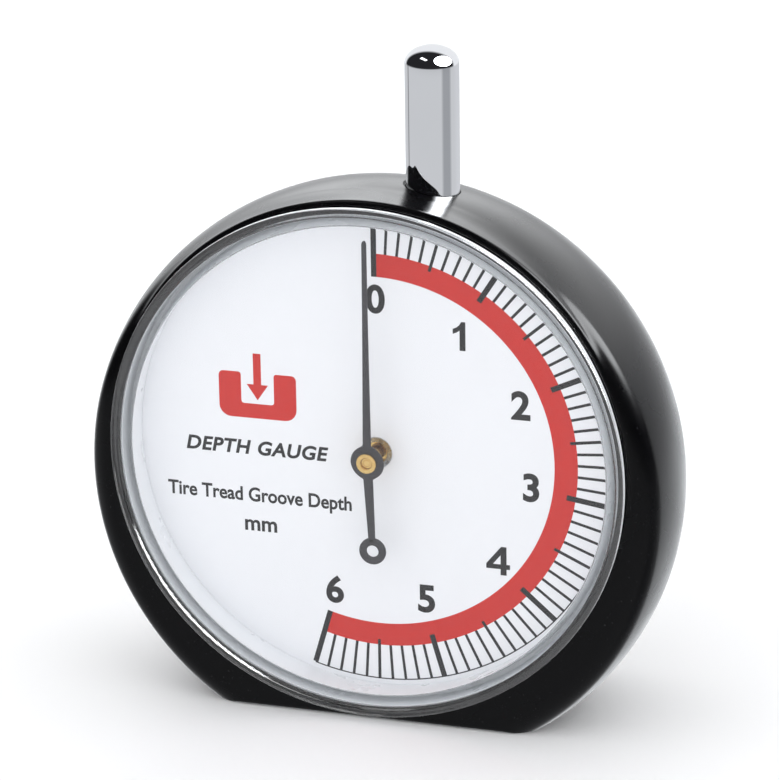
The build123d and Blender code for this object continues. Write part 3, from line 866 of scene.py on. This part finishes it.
def panel(azimuth, elevation, half_width_deg, half_height_deg, soft=4.0):
    """Mask of a soft-edged rectangular panel seen in one direction."""
    d = direction(azimuth, elevation)
    side = Vector((math.cos(math.radians(azimuth)), math.sin(math.radians(azimuth)), 0))
    up = side.cross(d) * -1
    if up.z < 0:
        up = -up
    depth = w.dot(toward, d)
    safe = w.math("MAXIMUM", depth, 0.001)
    mask = w.smooth(depth, 0.0, 0.02)
    for axis, half in ((side, half_width_deg), (up, half_height_deg)):
        at = w.math("ABSOLUTE", w.math("DIVIDE", w.dot(toward, axis), safe))
        edge = math.tan(math.radians(half))
        blur = math.tan(math.radians(min(half + soft, 88))) - edge
        mask = w.math("MULTIPLY", mask, w.smooth(at, edge, edge + blur, 1.0, 0.0))
    return mask


# What rays that leave a glossy surface see. Mirror-sharp ones, from the cap and the crystal, see a
# dimmer backdrop and a larger lamp than the rougher ones from the enamel.
SKY = rgba(0.02, 0.02, 0.022)
BACKDROP = rgba(1.1, 1.12, 1.15)
OVER_BACKDROP = rgba(3.6, 3.65, 3.7)
LEFT_BACKDROP = rgba(5.6, 5.7, 5.8)
MIRRORED_BACKDROP = rgba(0.90, 0.91, 0.93)
MIRRORED_GROUND = rgba(0.66, 0.67, 0.70)
GROUND = rgba(0.62, 0.63, 0.65)
GROUND_BEHIND = rgba(1.7, 1.75, 1.8)
rise = w.dot(toward, Vector((0, 0, 1)))
behind = w.dot(toward, Vector((0, 1, 0)))
leftward = w.dot(toward, Vector((-1, 0, 0)))
over = w.mix(w.smooth(leftward, -0.3, 0.25), OVER_BACKDROP, LEFT_BACKDROP)
back_light = w.mix(w.smooth(rise, 0.05, 0.5), BACKDROP, over)
path = w.add("ShaderNodeLightPath")
mirrored = path.outputs["Is Singular Ray"]
back_light = w.mix(mirrored, back_light, MIRRORED_BACKDROP)
glossy = w.mix(w.smooth(behind, 0.36, 0.58), SKY, back_light)
ground_far = w.mix(mirrored, GROUND_BEHIND, MIRRORED_GROUND)
ground = w.mix(w.smooth(behind, 0.45, 0.8), GROUND, ground_far)
ground = w.mix(panel(80, -18, 12, 30, 14), ground, rgba(0.36, 0.37, 0.39))
ground = w.mix(panel(-103, -18, 2.5, 30, 3), ground, rgba(0.30, 0.30, 0.31))
glossy = w.mix(w.smooth(rise, -0.24, -0.12, 1.0, 0.0), glossy, ground)


def round_light(azimuth, elevation, radius_deg, soft=3.0):
    """Mask of a round lamp seen in one direction."""
    inner = math.cos(math.radians(radius_deg - soft))
    outer = math.cos(math.radians(radius_deg + soft))
    return w.smooth(w.dot(toward, direction(azimuth, elevation)), outer, inner)


lamp = w.math("MULTIPLY", round_light(80, 40, 34), mirrored)
lamp = w.math("MAXIMUM", lamp, round_light(97, 37, 19))
glossy = w.mix(lamp, glossy, rgba(26, 26.5, 27))
glossy = w.mix(panel(-48, 62, 13, 4, 2), glossy, rgba(2.4, 2.4, 2.4))
# All other rays see an even white room.
even = rgba(1.12, 1.125, 1.14)
lit = w.mix(path.outputs["Is Glossy Ray"], even, glossy)
lit = w.mix(path.outputs["Is Transmission Ray"], lit, rgba(1.0, 1.0, 1.0))
lit = w.mix(path.outputs["Is Camera Ray"], lit, rgba(0.93, 0.93, 0.935))
back = w.add("ShaderNodeBackground")
w.put(back.inputs["Color"], lit)
w.put(w.add("ShaderNodeOutputWorld").inputs["Surface"], back.outputs[0])

scene = bpy.context.scene
scene.view_settings.view_transform = "Standard"

AZ, EL, ROLL = math.radians(17.66), math.radians(19.04), math.radians(-0.79)
SHIFT_X, SHIFT_Z, DISTANCE, FOCAL = -0.0636, -0.2999, 19.2472, 4000 / 780
facing = Vector((math.sin(AZ) * math.cos(EL), -math.cos(AZ) * math.cos(EL), math.sin(EL)))
level = Vector((math.cos(AZ), math.sin(AZ), 0))
upright = facing.cross(level)
right = math.cos(ROLL) * level + math.sin(ROLL) * upright
above = -math.sin(ROLL) * level + math.cos(ROLL) * upright
WINDOW_LIFT = 0.42
centre = Vector((0, DIAL_Y - WINDOW_LIFT, DIAL_Z))
spot = centre + VIEW_UNIT * (-SHIFT_X * right - SHIFT_Z * above + DISTANCE * facing)
camera_data = bpy.data.cameras.new("camera")
camera = bpy.data.objects.new("camera", camera_data)
scene.collection.objects.link(camera)
turn = camera.matrix_world.copy()
for i, axis in enumerate((right, above, facing)):
    for j in range(3):
        turn[j][i] = axis[j]
for j in range(3):
    turn[j][3] = spot[j] * MM
camera.matrix_world = turn
camera_data.sensor_width = 36
camera_data.lens = 36 * FOCAL
camera_data.clip_start = 0.01
scene.camera = camera
